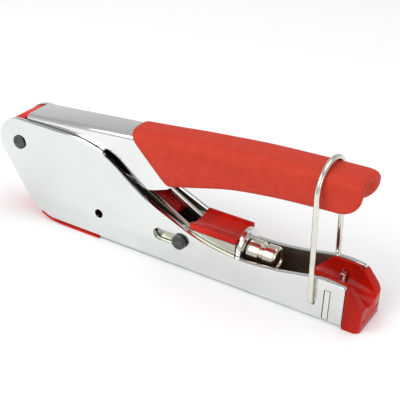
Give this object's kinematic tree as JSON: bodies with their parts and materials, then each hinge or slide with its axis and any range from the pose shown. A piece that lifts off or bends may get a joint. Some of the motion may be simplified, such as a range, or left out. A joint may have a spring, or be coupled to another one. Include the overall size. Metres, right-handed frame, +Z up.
{
  "type": "coaxial compression crimping tool",
  "caption": "Hand-held compression crimper: folded steel body, toggle handle with vinyl grip, sliding ram with hollow plunger tip, slotted nose and wire latch bail.",
  "frame": {"origin": "centre of the bounding box's footprint, on the flat underside of the body", "axes": "+X along the body from the handle's pivot towards the nose, +Z up, +Y to the left seen from behind"},
  "size_m": [0.178, 0.0274, 0.0662],
  "materials": {
    "chromed_sheet": "bright chrome plate on folded sheet steel",
    "link_steel": "plain stamped steel",
    "red_plastic": "glossy deep red moulding",
    "dark_red_plastic": "glossy dark red moulding",
    "grip_vinyl": "soft matt orange-red vinyl sleeve",
    "plain_steel": "machined",
    "dark_steel": "blackened",
    "spring_steel": "drawn wire",
    "nickel": "bright nickel plate"
  },
  "bodies": {
    "body": {"body_channel": "chromed_sheet", "rear_spine": "red_plastic", "nose_block": "red_plastic", "nose_pin_near": "plain_steel", "nose_pin_far": "plain_steel", "anvil_plate": "plain_steel", "pivot_pin": "dark_steel", "return_spring": "spring_steel"},
    "handle": {"handle_channel": "chromed_sheet", "handle_grip": "grip_vinyl", "handle_hub": "red_plastic", "link_pin": "plain_steel"},
    "link": {"link_plate_near": "link_steel", "link_plate_far": "link_steel", "link_filler": "red_plastic", "link_rivet_rear": "plain_steel", "link_rivet_front": "plain_steel", "link_sleeve": "plain_steel"},
    "ram": {"ram_carriage": "chromed_sheet", "ram_saddle": "dark_red_plastic", "ram_face": "chromed_sheet", "ram_pin": "dark_steel", "plunger_tip": "nickel", "tip_nut": "plain_steel"},
    "bail": {"latch_bail": "nickel"}
  },
  "joints": [
    {"name": "handle_hinge", "type": "hinge", "parent": "body", "child": "handle", "pos_m": [-0.078, 0, 0.0351], "axis": [0, -1, 0], "range_deg": [0, 38], "deforming": ["return_spring"]},
    {"name": "link_hinge", "type": "hinge", "parent": "handle", "child": "link", "pos_m": [-0.05602, 0, 0.03423], "axis": [0, -1, 0], "range_deg": [-51.2, 0]},
    {"name": "ram_slide", "type": "slide", "parent": "body", "child": "ram", "axis": [-1, 0, 0], "range_m": [0, 0.0094]},
    {"name": "bail_swing", "type": "hinge", "parent": "body", "child": "bail", "pos_m": [0.0683, 0, 0.0078], "axis": [0, 1, 0], "range_deg": [0, 95], "deforming": ["latch_bail"]}
  ],
  "couplings": [
    {"joint": "link_hinge", "follows": "handle_hinge", "ratio": -1.3441},
    {"joint": "ram_slide", "follows": "handle_hinge", "m_per_rad": 0.014141}
  ]
}
